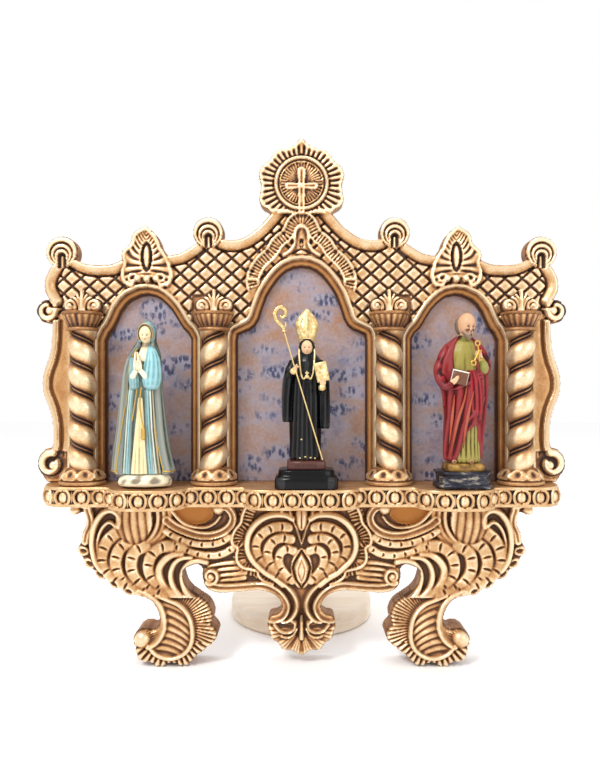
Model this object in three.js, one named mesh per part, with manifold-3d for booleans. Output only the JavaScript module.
// Triptych altarpiece: a gilt panel with three arched niches, a bowed shelf with three statuettes,
// a scrolled apron that ends in feet, and a round foot with a strut behind. Millimetres, +Z up.
import * as THREE from 'three';
import { mergeVertices } from 'three/addons/utils/BufferGeometryUtils.js';
import Module from 'manifold-3d';

const wasm = await Module();
wasm.setup();

// Driving dimensions. The panel is drawn with x to the right, y up and z out towards the viewer,
// and z = 0 is the ground that the lattice is carved on.
const CLEARANCE = 0.3;
const PANEL_THICKNESS = 10;
const BOARD_THICKNESS = 4;
const BOARD_LAP = 7;
const APRON_HEIGHT = 179;
const APRON_HALF_WIDTH = 258;
const APRON_THICKNESS = 20;
const APRON_RELIEF = 6;
const SHELF_THICKNESS = 21.3;
const SHELF_LIP = 3.5;
const SHELF_INSET = 3;
const SHELF_DEPTH_CENTRE = 57;
const SHELF_DEPTH_SIDE = 62;
const SHELF_DEPTH_COLUMN = 38;
const SHELF_OVERHANG = 43;
const EGG_PITCH = 19.5;
const CENTRE_NICHE_HALF = 73;
const SIDE_NICHE_HALF = 47;
const ARCH_COVE = 8;
const ARCH_BEAD = 6;
const JAMB_HEIGHT = 172;
const CENTRE_ARCH_RISE = 76;
const SIDE_ARCH_RISE = 43;
const COLUMN_HEIGHT = 189.7;
const COLUMN_RADIUS = 15;
const COLUMN_BASE_RADIUS = 26;
const COLUMN_STANDOFF = 14;
const COLUMN_PITCH = 30.2;
const COLUMN_INNER_GAP = 15.8;
const COLUMN_OUTER_GAP = 14.4;
const COLUMN_NICHE_GAP = 21.2;
const MOULDING_WIDTH = 8;
const MOULDING_HEIGHT = 9;
const LATTICE_PITCH = 19.3;
const LATTICE_ROW = 18;
const LATTICE_HEIGHT = 3;
const CREST_RADIUS = 47;
const CREST_RING = 29.7;
const CREST_RISE = 80.2;
const ROUNDEL_RADIUS = 17.2;
const VOLUTE_RADIUS = 12.9;
const VEILED_HEIGHT = 179;
const MITRED_HEIGHT = 171;
const MITRED_PLINTH = 20;
const MITRED_BLOCK = 9.7;
const CLOAKED_HEIGHT = 159;
const CLOAKED_PLINTH = 18;
const CLOAKED_BLOCK = 8.5;
const FIGURE_STANDOFF = 35;
const CROZIER_RADIUS = 1.2;
const FOOT_RADIUS = 95;
const FOOT_THICKNESS = 26;
const FOOT_DISTANCE = 156;
const STRUT_WIDTH = 44;
const STRUT_THICKNESS = 14;
const STRUT_REACH = 330;

// Sizes that follow from those above.
const shelfBottom = APRON_HEIGHT + CLEARANCE;
const shelfTop = shelfBottom + SHELF_THICKNESS;
const floorOfNiches = shelfTop + CLEARANCE;
const centreEdge = CENTRE_NICHE_HALF + ARCH_COVE;
const sideEdge = SIDE_NICHE_HALF + ARCH_COVE;
const innerColumnX = centreEdge + COLUMN_INNER_GAP;
const sideNicheX = innerColumnX + COLUMN_NICHE_GAP + sideEdge;
const outerColumnX = sideNicheX + sideEdge + COLUMN_OUTER_GAP;
const springY = shelfTop + JAMB_HEIGHT;
const centreTop = springY + CENTRE_ARCH_RISE + ARCH_COVE;
const sideTop = springY + SIDE_ARCH_RISE + ARCH_COVE;
const capitalTop = floorOfNiches + COLUMN_HEIGHT;
const crestY = centreTop + CREST_RISE;
const backOfBoard = -PANEL_THICKNESS - CLEARANCE - BOARD_THICKNESS;

const gilt = new THREE.MeshStandardMaterial({ color: 0xc79a5b, roughness: 0.42, metalness: 0.65 });
const paintedWood = new THREE.MeshStandardMaterial({ color: 0x9d8c96, roughness: 0.7, metalness: 0 });
const blueGlaze = new THREE.MeshStandardMaterial({ color: 0x9cc8cc, roughness: 0.35, metalness: 0 });
const blackGlaze = new THREE.MeshStandardMaterial({ color: 0x17161a, roughness: 0.25, metalness: 0 });
const redGlaze = new THREE.MeshStandardMaterial({ color: 0xa3262b, roughness: 0.3, metalness: 0 });
const plinthPaint = new THREE.MeshStandardMaterial({ color: 0x1b1a1c, roughness: 0.3, metalness: 0 });
const goldPaint = new THREE.MeshStandardMaterial({ color: 0xb59a58, roughness: 0.35, metalness: 0.5 });
const goldMetal = new THREE.MeshStandardMaterial({ color: 0xd4b066, roughness: 0.3, metalness: 0.9 });
const paleWood = new THREE.MeshStandardMaterial({ color: 0xe2d3bd, roughness: 0.6, metalness: 0 });

// A closed geometry as a solid that can be joined and cut.
function solid(geometry) {
  const bare = geometry.clone();
  bare.deleteAttribute('normal');
  bare.deleteAttribute('uv');
  const merged = mergeVertices(bare, 1e-4);
  const faces = [];
  const index = merged.index.array;
  for (let i = 0; i < index.length; i += 3) {
    const [a, b, c] = index.slice(i, i + 3);
    if (a !== b && b !== c && c !== a) faces.push(a, b, c);
  }
  return new wasm.Manifold(new wasm.Mesh({
    numProp: 3,
    vertProperties: new Float32Array(merged.attributes.position.array),
    triVerts: new Uint32Array(faces),
  }));
}

function joined(geometries) {
  return geometries.map(solid).reduce((sum, piece) => sum.add(piece));
}

function mirrored(geometry) {
  const copy = geometry.index ? geometry.toNonIndexed() : geometry.clone();
  copy.scale(-1, 1, 1);
  const place = copy.attributes.position.array;
  for (let i = 0; i < place.length; i += 9) {
    for (let k = 0; k < 3; k++) {
      [place[i + 3 + k], place[i + 6 + k]] = [place[i + 6 + k], place[i + 3 + k]];
    }
  }
  return copy;
}

function onBothSides(geometries) {
  return geometries.flatMap((geometry) => [geometry, mirrored(geometry)]);
}

// A closed skin through rings of points, capped at its ends or joined round into a loop.
function loft(rings, looped = false) {
  const size = rings[0].length;
  const points = rings.flat();
  const faces = [];
  const bands = looped ? rings.length : rings.length - 1;
  for (let i = 0; i < bands; i++) {
    const next = (i + 1) % rings.length;
    for (let j = 0; j < size; j++) {
      const k = (j + 1) % size;
      faces.push(i * size + j, i * size + k, next * size + k);
      faces.push(i * size + j, next * size + k, next * size + j);
    }
  }
  if (!looped) {
    for (const [row, turn] of [[0, 1], [rings.length - 1, 0]]) {
      const ring = rings[row];
      const middle = points.length;
      points.push([0, 1, 2].map((axis) => ring.reduce((sum, p) => sum + p[axis], 0) / size));
      for (let j = 0; j < size; j++) {
        const pair = [row * size + j, row * size + (j + 1) % size];
        faces.push(middle, pair[turn], pair[1 - turn]);
      }
    }
  }
  return closedGeometry(points, faces);
}

// The faces are turned outwards by the sign of the volume that they enclose.
function closedGeometry(points, faces) {
  const corner = (index) => new THREE.Vector3(...points[index]);
  let volume = 0;
  for (let i = 0; i < faces.length; i += 3) {
    volume += corner(faces[i]).dot(corner(faces[i + 1]).cross(corner(faces[i + 2])));
  }
  const outward = volume > 0 ? faces : faces.slice().reverse();
  const geometry = new THREE.BufferGeometry();
  geometry.setAttribute('position', new THREE.Float32BufferAttribute(points.flat(), 3));
  geometry.setIndex(outward);
  return geometry;
}

function smoothRun(points, steps) {
  const places = points.map(([x, y]) => new THREE.Vector3(x, y, 0));
  const curve = new THREE.CatmullRomCurve3(places, false, 'centripetal');
  return Array.from({ length: steps + 1 }, (_, i) => ({
    at: curve.getPoint(i / steps),
    along: curve.getTangent(i / steps),
  }));
}

// A raised rib with sloping sides that follows a drawn line; crown is its flat top's share of the width.
function rib(points, width, height, { base = 0, crown = 0.35, steps = points.length - 1, taper = 1 } = {}) {
  const rings = smoothRun(points, steps).map(({ at, along }, i) => {
    const size = 1 + (taper - 1) * (i / steps);
    const half = width / 2 * size;
    const top = base + height * size;
    const offset = (by, z) => [at.x - along.y * by, at.y + along.x * by, z];
    const crest = crown ? [offset(-half * crown, top), offset(half * crown, top)] : [offset(0, top)];
    return [offset(-half, base - 1), ...crest, offset(half, base - 1)];
  });
  return loft(rings);
}

// A drawn run stretched so that it starts and ends at the given places.
function span(points, start, end) {
  const [first, last] = [points[0], points.at(-1)];
  return points.map((point) => point.map((value, axis) => {
    const drawn = last[axis] - first[axis];
    const share = drawn === 0 ? 0 : (value - first[axis]) / drawn;
    return start[axis] + share * (end[axis] - start[axis]);
  }));
}

function slab(points, back, front) {
  const shape = new THREE.Shape(points.map(([x, y]) => new THREE.Vector2(x, y)));
  const geometry = new THREE.ExtrudeGeometry(shape, { depth: front - back, bevelEnabled: false });
  return geometry.translate(0, 0, back);
}

function wholeOutline(half) {
  return [...half, ...half.slice().reverse().map(([x, y]) => [-x, y])]
    .filter(([x], i, all) => Math.abs(x) > 0.01 || i < all.length / 2);
}

function ball(x, y, z, rx, ry, rz, sides = 6) {
  return new THREE.SphereGeometry(1, sides, Math.max(4, sides - 3)).scale(rx, ry, rz).translate(x, y, z);
}

// A fan of flutes: each stop gives the rim's place, and ridges and hollows take turns round it.
function flutedFan(centre, rim, hub, high, low, { back = -1, looped = false } = {}) {
  const rings = rim.map(([x, y], i) => {
    const ridge = i % 2 === 0;
    const reach = ridge ? 1 : 0.93;
    const place = (share, z) => [centre[0] + (x - centre[0]) * share, centre[1] + (y - centre[1]) * share, z];
    return [place(hub, back), place(hub, high), place(reach, ridge ? high * 0.75 : low), place(reach, back)];
  });
  return loft(rings, looped);
}

// Arches. The bell-shaped head is drawn in shares of the half width and of the rise.
const archHead = [[1, 0], [0.91, 0.05], [0.83, 0.15], [0.76, 0.32], [0.7, 0.5], [0.58, 0.7], [0.42, 0.87],
  [0.22, 0.97], [0, 1]];

function archOutline(x, half, rise, foot, grow = 0) {
  const side = [[half + grow, foot], ...archHead.map(([u, v]) => [u * (half + grow), springY + v * (rise + grow)])];
  return wholeOutline(side).map(([u, v]) => [x + u, v]);
}

const niches = [
  { x: -sideNicheX, half: SIDE_NICHE_HALF, rise: SIDE_ARCH_RISE },
  { x: 0, half: CENTRE_NICHE_HALF, rise: CENTRE_ARCH_RISE },
  { x: sideNicheX, half: SIDE_NICHE_HALF, rise: SIDE_ARCH_RISE },
];

// Each opening is cut straight through at the board and widens to the front as a cove.
function nicheCutter({ x, half, rise }) {
  const foot = shelfTop - ARCH_COVE;
  const narrow = archOutline(x, half, rise, foot);
  const wide = archOutline(x, half, rise, foot, ARCH_COVE);
  const level = (outline, z) => outline.map(([u, v]) => [u, v, z]);
  return loft([
    level(narrow, -PANEL_THICKNESS - 1),
    level(narrow, -PANEL_THICKNESS + 1),
    level(wide, 0),
    level(wide, MOULDING_HEIGHT),
  ]);
}

function archBead({ x, half, rise }) {
  const path = archOutline(x, half, rise, floorOfNiches, ARCH_COVE);
  const reach = ARCH_BEAD / 2;
  const rings = path.map(([u, v], i) => {
    const before = path[Math.max(i - 1, 0)];
    const after = path[Math.min(i + 1, path.length - 1)];
    const along = new THREE.Vector2(after[0] - before[0], after[1] - before[1]).normalize();
    const side = i === 0 || i === path.length - 1 ? [Math.sign(u - x), 0] : [along.y, -along.x];
    const offset = (by, z) => [u + side[0] * by, v + side[1] * by, z];
    return [offset(-reach, -2), offset(-reach * 0.5, MOULDING_HEIGHT), offset(reach * 0.5, MOULDING_HEIGHT),
      offset(reach, -2)];
  });
  return loft(rings);
}

// Frame: the panel's edge runs from the crest over the roundels and the palmettes to the side strips.
const innerRoundel = [innerColumnX + 7.7, centreTop + 25.2];
const outerRoundel = [outerColumnX + 25.5, sideTop + 37];
const palmetteFoot = [sideNicheX, sideTop];
const upperVolute = [outerColumnX + 41.2, capitalTop + 3];
const lowerVolute = [outerColumnX + 37.8, floorOfNiches + 21];

const corniceInner = span([[33, 503], [38, 495], [47, 487], [58, 480], [70, 476], [81, 474], [92, 475]],
  [33, crestY - 33.7], [innerRoundel[0] - 12, innerRoundel[1] - 7]);
const corniceMid = span([[117, 470], [126, 462], [137, 459], [150, 456]],
  [innerRoundel[0] + 13, innerRoundel[1] - 12], [palmetteFoot[0] - 24, palmetteFoot[1] + 34]);
const corniceOuter = span([[200, 450], [210, 446], [224, 444], [238, 446], [254, 452]],
  [palmetteFoot[0] + 27, palmetteFoot[1] + 27], [outerRoundel[0] - 15, outerRoundel[1] - 8]);
const shoulder = span([[278, 449], [285, 439], [289, 430], [289, 420], [284, 407]],
  [outerRoundel[0] + 9, outerRoundel[1] - 11], [upperVolute[0] - 1, upperVolute[1] + 13]);
const sideStrip = span([[283, 381], [282, 367], [284, 350], [288, 335], [291, 324], [292, 312], [290, 298],
  [285, 282], [281, 269], [280, 256], [281, 240]],
[upperVolute[0] - 2, upperVolute[1] - 13], [lowerVolute[0], lowerVolute[1] + 17]);

function around([x, y], radius, from, to, steps) {
  return Array.from({ length: steps + 1 }, (_, i) => {
    const angle = THREE.MathUtils.degToRad(from + (to - from) * i / steps);
    return [x + radius * Math.cos(angle), y + radius * Math.sin(angle)];
  });
}

const panelHalf = [
  ...corniceInner, ...corniceMid, [palmetteFoot[0], palmetteFoot[1] + 40], ...corniceOuter,
  [outerRoundel[0], outerRoundel[1]], ...shoulder, ...around(upperVolute, VOLUTE_RADIUS, 80, -80, 6), ...sideStrip,
  ...around(lowerVolute, VOLUTE_RADIUS, 70, -80, 6), [lowerVolute[0] - 6, floorOfNiches],
];

function frameSolid() {
  const crestHalf = around([0, crestY], CREST_RADIUS * 0.9, 90, -45, 8).slice(0, -1);
  const outline = wholeOutline([...crestHalf, ...panelHalf]);
  let body = latticeSolid().intersect(solid(slab(outline, -2, MOULDING_HEIGHT)));
  body = body.add(solid(slab(outline, -PANEL_THICKNESS, 0)));
  for (const niche of niches) body = body.subtract(solid(nicheCutter(niche)));
  return body.add(joined([
    ...niches.map(archBead),
    ...onBothSides([
      rib(corniceInner, MOULDING_WIDTH, MOULDING_HEIGHT),
      rib(corniceMid, MOULDING_WIDTH, MOULDING_HEIGHT),
      rib(corniceOuter, MOULDING_WIDTH, MOULDING_HEIGHT),
      rib(shoulder, MOULDING_WIDTH, MOULDING_HEIGHT),
      rib(sideStrip, MOULDING_WIDTH, MOULDING_HEIGHT),
      roundel(innerRoundel),
      roundel(outerRoundel),
      ...volute(upperVolute, 100),
      ...volute(lowerVolute, 60),
      ...palmette(palmetteFoot),
      ...pilasterBeads(),
    ]),
    ...ruffleBand(),
    ...crest(),
  ]));
}

// Diamond pillows fill the ground between the cornice and the arches, with grooves along their edges.
function latticeSolid() {
  const [stepX, stepY] = [LATTICE_PITCH / 2, LATTICE_ROW / 2];
  const low = capitalTop + 2;
  const across = Math.floor((outerColumnX + ROUNDEL_RADIUS) / stepX);
  const up = Math.floor((crestY - CREST_RADIUS * 0.75 - low) / stepY);
  const points = [];
  const faces = [];
  const width = across * 2 + 1;
  for (let row = 0; row <= up; row++) {
    for (let column = -across; column <= across; column++) {
      const middle = (row + column) % 2 === 0;
      points.push([column * stepX, low + row * stepY, middle ? LATTICE_HEIGHT : 0.2]);
    }
  }
  const top = points.length;
  points.push(...points.map(([x, y]) => [x, y, -1]));
  const quad = (a, b, c, d) => faces.push(a, b, c, a, c, d);
  for (let row = 0; row < up; row++) {
    for (let column = 0; column < width - 1; column++) {
      const at = row * width + column;
      const corners = [at, at + 1, at + 1 + width, at + width];
      const turned = (row + column - across) % 2 === 0 ? [...corners.slice(1), corners[0]] : corners;
      quad(...turned);
      quad(...turned.slice().reverse().map((corner) => corner + top));
    }
  }
  const last = up * width;
  for (let column = 0; column < width - 1; column++) {
    quad(column + 1, column, column + top, column + 1 + top);
    quad(last + column, last + column + 1, last + column + 1 + top, last + column + top);
  }
  for (let row = 0; row < last; row += width) {
    quad(row, row + width, row + width + top, row + top);
    quad(row + width - 1 + width, row + width - 1, row + width - 1 + top, row + width - 1 + width + top);
  }
  return solid(closedGeometry(points, faces));
}

function roundel([x, y]) {
  const rings = [[0, -PANEL_THICKNESS], [1, -PANEL_THICKNESS], [1, 0.25], [0.84, 0.5], [0.66, 0.28], [0.45, 0.55],
    [0, 0.25]];
  const profile = rings.map(([r, z]) => new THREE.Vector2(r * ROUNDEL_RADIUS, z < 0 ? z : z * ROUNDEL_RADIUS));
  return new THREE.LatheGeometry(profile, 10).rotateX(Math.PI / 2).translate(x, y, 0);
}

function volute([x, y], start) {
  const turns = Array.from({ length: 11 }, (_, i) => {
    const angle = THREE.MathUtils.degToRad(start + 40 * i);
    const radius = VOLUTE_RADIUS * (1 - 0.06 * i);
    return [x - radius * Math.cos(angle), y + radius * Math.sin(angle)];
  });
  return [rib(turns, 6.5, 8, { taper: 0.7, crown: 0 })];
}

function palmette([x, y]) {
  const half = [[0, 68], [12, 58], [18, 46], [28, 34], [32, 14], [22, 0]];
  const rim = [];
  const full = [...half.slice(1).map(([u, v]) => [-u, v]).reverse(), ...half];
  full.forEach(([u, v], i) => {
    if (i) rim.push([x + (u + full[i - 1][0]) / 2, y + (v + full[i - 1][1]) / 2]);
    rim.push([x + u, y + v]);
  });
  return [
    flutedFan([x, y + 12], rim, 0.2, 9, 4, { back: -PANEL_THICKNESS }),
    ball(x, y + 32, 6, 7, 15, 6),
  ];
}

function pilasterBeads() {
  const [low, high] = [floorOfNiches + 1, capitalTop - 22];
  return [outerColumnX + 20.5, innerColumnX - 14.5, innerColumnX + 18].map((x) => {
    return rib([[x, low], [x, high]], 3, 4, { crown: 0.5 });
  });
}

// The frilled band that crowns the centre arch, as cross ribs between its outer and inner lines.
function ruffleBand() {
  const outer = span([[54, 416], [60, 432], [56, 448], [43, 459], [34, 472], [20, 482], [14, 496], [0, 504]],
    [54, centreTop - 41], [0, crestY - 33]);
  const inner = span([[50, 418], [44, 431], [34, 442], [25, 450], [17, 459], [11, 471], [7, 482], [0, 490]],
    [50, centreTop - 38], [0, crestY - 47]);
  const steps = 18;
  const [outerRun, innerRun] = [smoothRun(outer, steps), smoothRun(inner, steps)];
  const rings = outerRun.map(({ at }, i) => {
    const within = innerRun[i].at;
    const ridge = i % 2 === 0;
    const high = ridge ? 10 : 6;
    return [[within.x, within.y, -1], [within.x, within.y, high - 1], [at.x, at.y, high], [at.x, at.y, -1]];
  });
  const half = loft(rings);
  return [half, mirrored(half), ball(0, crestY - 54, 2, 8, 6, 6)];
}

// The crest: a frilled disc, a ring, a sunburst and a plain cross.
function crest() {
  const flutes = 18;
  const rim = Array.from({ length: flutes * 2 }, (_, i) => {
    const angle = Math.PI * 2 * i / (flutes * 2);
    const scallop = 1 + 0.04 * Math.cos(angle * 9 + Math.PI / 2);
    const tip = 0.11 * Math.max(0, Math.sin(angle)) ** 12;
    const radius = CREST_RADIUS * (scallop + tip);
    return [radius * Math.cos(angle), crestY + radius * Math.sin(angle)];
  });
  const hub = (CREST_RING - 3.5) / CREST_RADIUS;
  const edge = CREST_RING - 1;
  const profile = [[edge - 6, -1], [edge, -1], [edge - 1, 9], [edge - 5, 9], [edge - 6, -1]];
  const ring = new THREE.LatheGeometry(profile.map(([r, z]) => new THREE.Vector2(r, z)), 20).rotateX(Math.PI / 2);
  const rays = Array.from({ length: 8 }, (_, i) => {
    const angle = Math.PI / 8 + Math.PI * i / 4;
    const place = (radius) => [radius * Math.cos(angle), crestY + radius * Math.sin(angle)];
    return rib([place(6), place(edge - 7)], 5, 4, { crown: 0, base: -0.5 });
  });
  const arm = 3.6;
  const cross = wholeOutline([
    [0, 22], [arm + 1.6, 20], [arm - 0.4, 15], [arm - 0.4, arm], [11, arm], [15, arm + 1.8], [17, 0],
    [15, -arm - 1.8], [11, -arm], [arm - 0.4, -arm], [arm - 0.4, -25.3], [arm + 1.6, -30], [0, -32],
  ].map(([x, y]) => [x, crestY + y]));
  return [
    flutedFan([0, crestY], rim, hub, 7, 3.5, { back: -PANEL_THICKNESS, looped: true }),
    ring.translate(0, crestY, 0),
    ...rays,
    slab(cross, -1, 10.4),
  ];
}

// Board: one sheet cut to the three arches, behind the panel.
function boardSolid() {
  const front = -PANEL_THICKNESS - CLEARANCE;
  const sheets = niches.map(({ x, half, rise }) => {
    const arch = archOutline(x, half, rise, floorOfNiches, BOARD_LAP).filter((_, i) => i % 2 === 0);
    return slab(arch, front - BOARD_THICKNESS, front);
  });
  const reach = sideNicheX + SIDE_NICHE_HALF + BOARD_LAP;
  const tie = slab([[-reach, floorOfNiches], [reach, floorOfNiches], [reach, springY], [-reach, springY]],
    front - BOARD_THICKNESS, front);
  return joined([...sheets, tie]);
}

// Columns: a twisted shaft between a domed base and a bell capital, flat behind where it meets the mouldings.
function twistedShaft(low, high) {
  const sides = 8;
  const rows = [[0, 0.82], [0.28, 1], [0.72, 1]];
  const turns = Math.ceil((high - low) / COLUMN_PITCH) + 2;
  const total = turns * rows.length;
  const points = [];
  for (let i = 0; i < total; i++) {
    for (let j = 0; j < sides; j++) {
      const [start, share] = rows[i % rows.length];
      const raw = low - COLUMN_PITCH + COLUMN_PITCH * (Math.floor(i / rows.length) + start + j / sides);
      const y = THREE.MathUtils.clamp(raw, low, high);
      const radius = COLUMN_RADIUS * (raw > low && raw < high ? share : 0.9);
      const angle = Math.PI * 2 * j / sides;
      points.push([radius * Math.cos(angle), y, radius * Math.sin(angle)]);
    }
  }
  const at = (i, j) => {
    const row = j < sides ? i : i + rows.length;
    return Math.min(row, total - 1) * sides + j % sides;
  };
  const faces = [];
  for (let i = 0; i < total - 1; i++) {
    for (let j = 0; j < sides; j++) {
      faces.push(at(i, j), at(i, j + 1), at(i + 1, j + 1), at(i, j), at(i + 1, j + 1), at(i + 1, j));
    }
  }
  points.push([0, low, 0], [0, high, 0]);
  for (let j = 0; j < sides; j++) {
    faces.push(total * sides, at(0, (j + 1) % sides), at(0, j));
    faces.push(total * sides + 1, at(total - 1, j), at(total - 1, (j + 1) % sides));
  }
  return closedGeometry(points, faces);
}

function columnSolid(x, mirror) {
  const low = floorOfNiches;
  const lathe = (profile, sides) => new THREE.LatheGeometry(profile.map(([r, y]) => new THREE.Vector2(r, y)), sides);
  const r = COLUMN_RADIUS;
  const baseTop = low + 18.5;
  const shaftTop = capitalTop - 21;
  const pieces = [
    lathe([[0, low], [COLUMN_BASE_RADIUS, low], [COLUMN_BASE_RADIUS, low + 3.5], [COLUMN_BASE_RADIUS - 3, low + 5],
      [COLUMN_BASE_RADIUS - 4, low + 10], [r + 2, baseTop], [0, baseTop]], 12).scale(1, 1, 0.72),
    twistedShaft(baseTop - 1, shaftTop + 1),
    lathe([[0, shaftTop], [r + 1, shaftTop], [r + 2.5, shaftTop + 2], [r + 1, shaftTop + 4], [r, shaftTop + 7],
      [r + 4.5, capitalTop - 2.8], [r + 6.5, capitalTop - 2.8], [r + 6.5, capitalTop], [0, capitalTop]], 10),
    ball(-9.5, low + 11, 12, 7, 7.5, 5, 5),
    ball(9.5, low + 11, 12, 7, 7.5, 5, 5),
    ball(-13, capitalTop + 7.4, -2, 8, 8, 9, 5),
    ball(13, capitalTop + 7.4, -2, 8, 8, 9, 5),
    slab([[-8, capitalTop - 1], [8, capitalTop - 1], [9, capitalTop + 14], [4, capitalTop + 18],
      [0, capitalTop + 27], [-4, capitalTop + 18], [-9, capitalTop + 14]], -12, 6),
  ].map((piece) => piece.translate(0, 0, COLUMN_STANDOFF));
  const turned = mirror ? pieces.map(mirrored) : pieces;
  return joined(turned.map((piece) => piece.translate(x, 0, 0))).trimByPlane([0, 0, 1], MOULDING_HEIGHT + CLEARANCE);
}

// Shelf: its front bows out under each niche and draws back under the columns.
function shelfFront(inset) {
  const bulgeIn = sideNicheX - sideEdge + 3;
  const bulgeOut = sideNicheX + sideEdge * 0.62;
  const [c, s, m] = [SHELF_DEPTH_COLUMN, SHELF_DEPTH_SIDE, SHELF_DEPTH_CENTRE];
  const end = outerColumnX + SHELF_OVERHANG;
  const drawn = [[0, m], [centreEdge * 0.42, m], [centreEdge * 0.62, m - 4], [centreEdge * 0.74, c + 7],
    [centreEdge * 0.79, c], [innerColumnX, c], [bulgeIn - 2, c], [bulgeIn + 4, c + 9], [bulgeIn + 15, s - 4],
    [bulgeIn + 30, s], [bulgeOut - 26, s], [bulgeOut - 12, s - 6], [bulgeOut - 3, c + 8], [bulgeOut + 2, c],
    [outerColumnX + 8, c], [end - 20, c - 2], [end - 8, c - 11], [end - 2, c - 24], [end, 2]];
  const run = drawn.map(([x, z], i) => {
    const before = drawn[Math.max(i - 1, 0)];
    const after = drawn[Math.min(i + 1, drawn.length - 1)];
    const along = new THREE.Vector2(after[0] - before[0], after[1] - before[1]).normalize();
    return [i ? x + along.y * inset : 0, z - along.x * inset];
  });
  return run;
}

function shelfLayer(inset, low, high) {
  const half = [...shelfFront(inset), [outerColumnX + SHELF_OVERHANG - inset, backOfBoard]];
  const outline = [...half, ...half.slice(1).reverse().map(([x, z]) => [-x, z])];
  const shape = new THREE.Shape(outline.map(([x, z]) => new THREE.Vector2(x, -z)));
  const geometry = new THREE.ExtrudeGeometry(shape, { depth: high - low, bevelEnabled: false });
  return geometry.rotateX(-Math.PI / 2).translate(0, low, 0);
}

function shelfSolid() {
  const core = shelfFront(SHELF_INSET).map(([x, z]) => new THREE.Vector2(x, z));
  const line = new THREE.CatmullRomCurve3(core.map(({ x, y }) => new THREE.Vector3(x, 0, y)), false, 'centripetal');
  const eggs = [];
  const count = Math.floor(line.getLength() / EGG_PITCH);
  for (let i = 0; i <= count; i++) {
    const share = Math.min(i * EGG_PITCH / line.getLength(), 1);
    const [at, along] = [line.getPointAt(share), line.getTangentAt(share)];
    const egg = new THREE.OctahedronGeometry(1, 0).scale(6.5, 6.2, SHELF_INSET - 0.5);
    egg.rotateY(Math.atan2(-along.z, along.x));
    eggs.push(egg.translate(at.x, shelfBottom + SHELF_THICKNESS * 0.5, at.z - 0.2));
  }
  return joined([
    shelfLayer(0, shelfBottom, shelfBottom + SHELF_LIP + 1),
    shelfLayer(SHELF_INSET, shelfBottom + SHELF_LIP, shelfTop - SHELF_LIP + 1),
    shelfLayer(0, shelfTop - SHELF_LIP, shelfTop),
    ...eggs,
    ...eggs.slice(1).map(mirrored),
  ]);
}

// Apron: drawn as one half with its feet at the bottom; the drawing is stretched to the apron's sizes.
const apronDrawing = [[0, 177], [258, 177], [258, 171], [254, 166], [249, 166], [242, 169], [239, 162], [241, 149],
  [246, 137], [251, 128], [249, 120], [244, 116], [243, 109], [238, 104], [231, 100], [227, 94], [221, 91],
  [210, 82], [202, 79], [196, 75], [186, 73], [176, 72], [168, 68], [161, 62], [159, 54], [160, 44], [165, 37],
  [176, 38], [185, 34], [189, 26], [187, 15], [185, 6], [179, 2], [168, 0], [163, -4], [151, -4], [147, -2],
  [143, -4], [130, -4], [124, 0], [118, 6], [108, 13], [100, 20], [95, 28], [95, 36], [100, 43], [100, 52],
  [104, 63], [113, 72], [123, 80], [129, 89], [133, 99], [131, 107], [124, 109], [115, 109], [109, 104],
  [111, 95], [108, 87], [102, 80], [88, 78], [73, 78], [55, 80], [42, 80], [32, 76], [24, 68], [22, 59],
  [27, 53], [35, 51], [39, 42], [36, 31], [31, 23], [23, 17], [17, 12], [8, 12], [0, 7]];

function onApron(points) {
  const low = Math.min(...apronDrawing.map(([, y]) => y));
  const high = Math.max(...apronDrawing.map(([, y]) => y));
  const wide = Math.max(...apronDrawing.map(([x]) => x));
  return points.map(([x, y]) => [x * APRON_HALF_WIDTH / wide, (y - low) * APRON_HEIGHT / (high - low)]);
}

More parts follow.
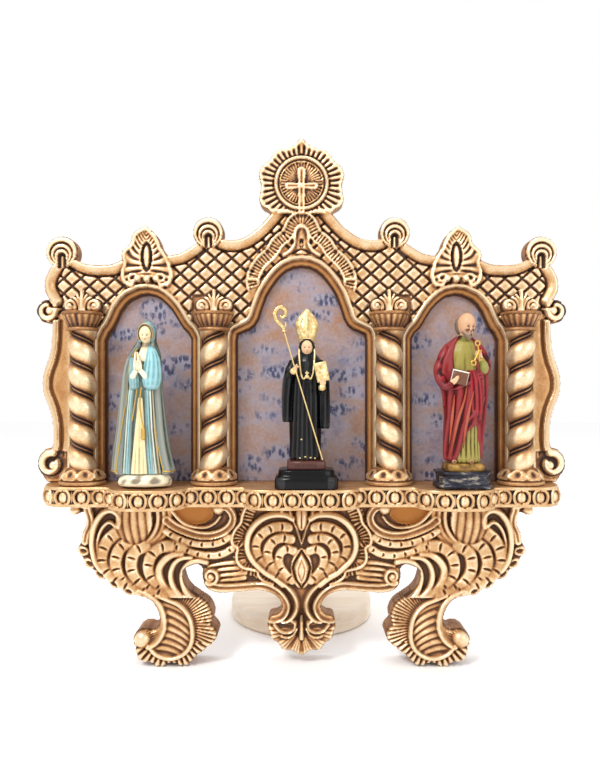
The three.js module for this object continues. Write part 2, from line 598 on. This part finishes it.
function apronSolid() {
  const front = backOfBoard + APRON_THICKNESS;
  const proud = front + APRON_RELIEF;
  const ridge = (points, width = 7, options = {}) => {
    return rib(onApron(points), width, APRON_RELIEF, { base: front, crown: 0, ...options });
  };
  const leg = onApron([[157, 70], [165, 66], [161, 58], [162, 47], [168, 40], [180, 35], [185, 26], [183, 10],
    [176, 4], [164, 0], [163, -4], [151, -4], [147, -2], [143, -4], [130, -4], [120, 8], [104, 22], [100, 36],
    [104, 50], [110, 64], [122, 74], [140, 76]]);
  const heartRim = [[4, 157], [20, 167], [38, 160], [51, 144], [53, 122], [38, 103], [15, 86], [3, 68], [3, 52],
    [19, 42]];
  const heart = onApron([[0, 154], ...heartRim.slice(0, -2), [0, 60]]);
  const middle = onApron([[0, 126], [46, 161], [176, 38], [138, 44]]);
  const carved = [
    slab(leg, backOfBoard, proud + 6),
    ridge([[232, 132], [229, 147], [222, 159], [213, 167], [205, 170], [197, 165], [194, 156]], 7),
    ridge([[197, 148], [190, 134], [172, 132], [156, 148], [154, 170]], 6),
    ridge([[202, 141], [215, 137], [226, 119], [225, 108], [208, 89], [195, 83]]),
    ridge([[189, 132], [201, 130], [211, 123], [210, 100], [200, 90], [175, 80]]),
    ridge([[93, 119], [119, 121], [153, 138], [166, 130], [180, 111], [178, 97], [144, 78]], 7),
    ridge([[76, 139], [98, 131], [123, 137], [144, 152]], 7),
    ridge([[125, 120], [139, 126], [153, 123], [161, 101], [154, 90], [126, 73]]),
    ridge([[109, 110], [122, 114], [132, 111], [137, 101], [127, 79], [107, 63], [100, 48]], 6),
    ridge([[82, 174], [72, 165], [77, 150], [100, 141], [126, 145], [148, 174]], 6),
    ridge([[98, 99], [82, 85], [44, 86], [23, 77], [16, 60], [34, 45]], 6),
    rib(onApron([[165, 28], [154, 14], [133, 16], [119, 34], [122, 55], [139, 70], [173, 74]]), 6,
      APRON_RELIEF, { base: proud + 4, crown: 0 }),
    rib(onApron([[181, 72], [168, 68], [159, 55], [159, 45], [167, 32]]), 6, APRON_RELIEF,
      { base: proud + 4, crown: 0 }),
    ball(middle[2][0], middle[2][1] - 8, proud + 3, 9, 9, 9),
    rib(onApron(heartRim), 7, APRON_RELIEF, { base: proud, crown: 0 }),
    rib(onApron([[12, 149], [24, 153], [40, 145], [47, 127], [38, 106], [14, 92]]), 6, 8, { base: proud, crown: 0 }),
    rib(onApron([[8, 138], [23, 138], [36, 121], [25, 103], [8, 92]]), 6, 11, { base: proud, crown: 0 }),
    ridge([[61, 162], [74, 142], [68, 124], [65, 106], [33, 90]], 6),
  ];
  for (let i = 0; i < 4; i++) {
    const [low, high] = [[128 + i * 7, 28 + i * 9], [148 + i * 4, 22 + i * 9]];
    carved.push(rib(onApron([low, high]), 5, 4, { base: proud + 5, crown: 0 }));
  }
  for (let i = 0; i < 4; i++) {
    const x = 161 + i * 9;
    carved.push(ridge([[x, 142], [x - 1, 168]], 6));
  }
  const fan = around([0, onApron([[0, 36]])[0][1]], 1, 200, 340, 12).map(([x, y]) => {
    const centre = onApron([[0, 36]])[0][1];
    return [x * 37, centre + (y - centre) * 29];
  });
  return joined([
    slab(wholeOutline(onApron(apronDrawing)), backOfBoard, front),
    slab(wholeOutline(heart), backOfBoard, proud),
    ball(middle[0][0], middle[0][1], proud - 1, 44, 34, 9, 8),
    ball(0, onApron([[0, 108]])[0][1], proud + 6, 8, 17, 8),
    ball(0, onApron([[0, 38]])[0][1], front, 20, 13, APRON_RELIEF + 4),
    flutedFan([0, onApron([[0, 38]])[0][1]], fan, 0.3, front + 8, front + 3),
    ...onBothSides(carved),
  ]);
}

// Figures. Each is drawn in shares of its own height, standing on y = 0 with its axis at x = z = 0.
// A row gives the level, the half width, the half depth, the sideways and forward shift and the folds.
function robe(rows, height, sides = 12) {
  return loft(rows.map(([level, wide, deep, x = 0, z = 0, fold = 0]) => Array.from({ length: sides }, (_, j) => {
    const angle = Math.PI * 2 * (j + 0.5) / sides;
    const wave = 1 + (j % 2 ? fold : -fold);
    return [(x + wide * wave * Math.cos(angle)) * height, level * height, (z + deep * wave * Math.sin(angle)) * height];
  })));
}

function spindle(from, to, radius, height, sides = 6) {
  const [a, b] = [from, to].map((place) => new THREE.Vector3(...place).multiplyScalar(height));
  const along = b.clone().sub(a);
  const geometry = new THREE.SphereGeometry(1, sides, 4);
  geometry.scale(radius * height, along.length() / 2 + radius * height * 0.6, radius * height);
  geometry.applyQuaternion(new THREE.Quaternion().setFromUnitVectors(new THREE.Vector3(0, 1, 0), along.normalize()));
  return geometry.translate(...a.add(b).multiplyScalar(0.5));
}

function stepped(levels) {
  return loft(levels.map(([y, wide, deep]) => [[-1, -1], [1, -1], [1, 1], [-1, 1]]
    .map(([x, z]) => [x * wide, y, z * deep])));
}

function placed(geometries, x, y) {
  return geometries.map((geometry) => geometry.translate(x, y, FIGURE_STANDOFF));
}

const veiledX = -sideNicheX + 5;
const mitredX = 5;
const cloakedX = sideNicheX;
const mitredFoot = floorOfNiches + MITRED_PLINTH + CLEARANCE;
const cloakedFoot = floorOfNiches + CLOAKED_PLINTH + CLOAKED_BLOCK + CLEARANCE;

function veiledFigure() {
  const h = VEILED_HEIGHT;
  return joined(placed([
    robe([[0, 0.14, 0.1], [0.03, 0.155, 0.115, 0, 0, 0.06], [0.08, 0.15, 0.11, 0, 0, 0.06], [0.1, 0.1, 0.08]], h),
    robe([[0.08, 0.168, 0.1, 0, 0, 0.05], [0.14, 0.17, 0.1, 0, 0, 0.06], [0.27, 0.15, 0.092, -0.01, 0, 0.06],
      [0.42, 0.128, 0.088, -0.01, 0, 0.05], [0.6, 0.112, 0.082, -0.005, 0, 0.04], [0.72, 0.098, 0.075, 0.005, 0, 0.02],
      [0.8, 0.07, 0.062], [0.86, 0.056, 0.058], [0.94, 0.053, 0.06], [0.985, 0.03, 0.035], [1, 0.012, 0.015]], h),
    spindle([-0.085, 0.66, 0.04], [0, 0.7, 0.12], 0.035, h),
    spindle([0.085, 0.66, 0.04], [0.01, 0.7, 0.12], 0.035, h),
    spindle([0.005, 0.7, 0.13], [0.015, 0.8, 0.11], 0.02, h),
  ], veiledX, floorOfNiches));
}

function crozierTube(radius) {
  const h = MITRED_HEIGHT - MITRED_BLOCK;
  const staff = [[0.105, 0.004, 0.094], [0.04, 0.22, 0.11], [-0.03, 0.45, 0.125], [-0.095, 0.66, 0.13],
    [-0.147, 0.845, 0.13], [-0.173, 0.88, 0.13], [-0.2, 0.92, 0.13], [-0.203, 0.965, 0.13], [-0.173, 0.995, 0.13],
    [-0.137, 0.977, 0.13], [-0.14, 0.938, 0.13], [-0.165, 0.93, 0.13]];
  const path = new THREE.CatmullRomCurve3(staff.map(([x, y, z]) => new THREE.Vector3(x * h, y * h, z * h)));
  const section = new THREE.Shape(around([0, 0], radius, 0, 288, 4).map(([x, y]) => new THREE.Vector2(x, y)));
  const tube = new THREE.ExtrudeGeometry(section, { steps: 26, extrudePath: path });
  return placed([tube], mitredX, mitredFoot + MITRED_BLOCK)[0];
}

function mitredFigure() {
  const h = MITRED_HEIGHT - MITRED_BLOCK;
  const foot = mitredFoot + MITRED_BLOCK;
  const book = slab([[-0.055, -0.06], [0.055, -0.06], [0.055, 0.06], [-0.055, 0.06]].map(([x, y]) => [x * h, y * h]),
    0, 6).rotateY(0.3).translate(0.105 * h, 0.6 * h, 0.08 * h);
  const body = joined([
    ...placed([stepped([[0, 20.4, 14.5], [MITRED_BLOCK - 1.5, 20.4, 14.5], [MITRED_BLOCK, 19, 13],
      [MITRED_BLOCK + 1, 16, 11]])], mitredX, mitredFoot),
    ...placed([
      robe([[0, 0.108, 0.08, 0, 0, 0.07], [0.14, 0.11, 0.08, 0, 0, 0.08], [0.32, 0.125, 0.085, 0, 0, 0.06],
        [0.5, 0.145, 0.09, 0, 0, 0.04], [0.62, 0.14, 0.085, 0, 0, 0.02], [0.7, 0.11, 0.07], [0.73, 0.055, 0.05],
        [0.78, 0.045, 0.05], [0.84, 0.05, 0.052]], h),
      robe([[0.8, 0.055, 0.055], [0.84, 0.068, 0.06], [0.93, 0.085, 0.045], [0.97, 0.06, 0.03],
        [1, 0.014, 0.014]], h, 10),
      spindle([-0.12, 0.58, 0.02], [-0.07, 0.63, 0.1], 0.035, h),
      spindle([0.12, 0.55, 0.02], [0.09, 0.57, 0.1], 0.035, h),
      spindle([-0.085, 0.64, 0.1], [-0.065, 0.69, 0.12], 0.022, h),
      book,
    ], mitredX, foot),
  ]);
  return body.subtract(solid(crozierTube(CROZIER_RADIUS + CLEARANCE)));
}

function cloakedFigure() {
  const h = CLOAKED_HEIGHT;
  const book = slab([[-0.055, -0.055], [0.055, -0.055], [0.055, 0.055], [-0.055, 0.055]].map(([x, y]) => [x * h, y * h]),
    0, 7).rotateZ(-0.2).translate(-0.035 * h, 0.59 * h, 0.095 * h);
  return joined(placed([
    robe([[0, 0.085, 0.06, 0, 0, 0.1], [0.05, 0.09, 0.065, 0, 0, 0.12], [0.16, 0.11, 0.075, 0.01, 0, 0.1],
      [0.35, 0.135, 0.085, 0.015, 0, 0.07], [0.55, 0.15, 0.09, 0.012, 0, 0.05], [0.7, 0.14, 0.085, 0.01, 0, 0.03],
      [0.79, 0.1, 0.07, 0.005], [0.83, 0.045, 0.045], [0.86, 0.04, 0.045]], h),
    ball(0, 0.925 * h, 2, 0.055 * h, 0.075 * h, 0.062 * h, 8),
    ball(0, 0.865 * h, 7, 0.042 * h, 0.05 * h, 0.04 * h),
    spindle([-0.12, 0.66, 0.02], [-0.03, 0.55, 0.11], 0.04, h),
    spindle([0.14, 0.62, 0.02], [0.07, 0.74, 0.1], 0.038, h),
    spindle([-0.13, 0.55, 0.0], [-0.1, 0.2, 0.03], 0.05, h),
    spindle([-0.04, 0.03, 0.05], [-0.045, 0.03, 0.1], 0.022, h),
    spindle([0.05, 0.03, 0.04], [0.055, 0.03, 0.09], 0.022, h),
    book,
  ], cloakedX, cloakedFoot));
}

function mitredPlinth() {
  const top = MITRED_PLINTH;
  return joined(placed([stepped([[0, 33.3, 20.5], [top * 0.6, 33.3, 20.5], [top * 0.72, 29.5, 18],
    [top * 0.94, 29.5, 18], [top, 28, 16.8]])], mitredX, floorOfNiches));
}

function cloakedPlinth() {
  const [low, high] = [CLOAKED_PLINTH, CLOAKED_PLINTH + CLOAKED_BLOCK];
  const rows = [[0, 30, 19.5], [low * 0.2, 30, 19.5], [low * 0.3, 27, 17.5], [low * 0.8, 27, 17.5],
    [low * 0.9, 29.5, 19], [low, 29.5, 19], [low + 0.5, 20, 15], [high - 2, 20, 15], [high, 18, 13]];
  return joined(placed([stepped(rows)], cloakedX, floorOfNiches));
}

// Stand: a turned foot behind and a strut that meets the back of the board.
function standFoot() {
  const profile = [[0, 0], [FOOT_RADIUS - 4, 0], [FOOT_RADIUS, 4], [FOOT_RADIUS, FOOT_THICKNESS - 6],
    [FOOT_RADIUS - 6, FOOT_THICKNESS], [0, FOOT_THICKNESS]].map(([r, y]) => new THREE.Vector2(r, y));
  return solid(new THREE.LatheGeometry(profile, 36).translate(0, 0, -FOOT_DISTANCE));
}

function standStrut() {
  const [low, back] = [FOOT_THICKNESS + CLEARANCE, backOfBoard - CLEARANCE];
  const side = [[low, -FOOT_DISTANCE], [low, -FOOT_DISTANCE + STRUT_THICKNESS * 1.3],
    [STRUT_REACH - STRUT_THICKNESS * 3, back], [STRUT_REACH, back]];
  return solid(loft([-1, 1].map((end) => side.map(([y, z]) => [end * STRUT_WIDTH / 2, y, z]))));
}

const group = new THREE.Group();
group.rotation.x = Math.PI / 2;
group.position.y = (Math.max(SHELF_DEPTH_SIDE, SHELF_DEPTH_CENTRE) - FOOT_DISTANCE - FOOT_RADIUS) / 2;

// Pockets that carving closes over inside the casting are filled: only outer skins are kept.
function addMesh(name, body, material) {
  const skins = body.decompose().filter((skin) => skin.volume() > 0);
  const { vertProperties, triVerts } = skins.reduce((sum, skin) => sum.add(skin)).simplify(0.02).getMesh();
  const geometry = new THREE.BufferGeometry();
  geometry.setAttribute('position', new THREE.Float32BufferAttribute(vertProperties, 3));
  geometry.setIndex(Array.from(triVerts));
  geometry.computeVertexNormals();
  const mesh = new THREE.Mesh(geometry, material);
  mesh.name = name;
  group.add(mesh);
}

addMesh('frame', frameSolid(), gilt);
addMesh('painted_board', boardSolid(), paintedWood);
addMesh('column_outer_left', columnSolid(-outerColumnX, false), gilt);
addMesh('column_inner_left', columnSolid(-innerColumnX, true), gilt);
addMesh('column_inner_right', columnSolid(innerColumnX, false), gilt);
addMesh('column_outer_right', columnSolid(outerColumnX, true), gilt);
addMesh('shelf', shelfSolid(), gilt);
addMesh('apron', apronSolid(), gilt);
addMesh('veiled_figure', veiledFigure(), blueGlaze);
addMesh('mitred_figure', mitredFigure(), blackGlaze);
addMesh('mitred_figure_plinth', mitredPlinth(), plinthPaint);
addMesh('crozier', solid(crozierTube(CROZIER_RADIUS)), goldMetal);
addMesh('cloaked_figure', cloakedFigure(), redGlaze);
addMesh('cloaked_figure_plinth', cloakedPlinth(), goldPaint);
addMesh('stand_foot', standFoot(), paleWood);
addMesh('stand_strut', standStrut(), paleWood);

const altarpiece = new THREE.Group();
altarpiece.add(group);
export default altarpiece;
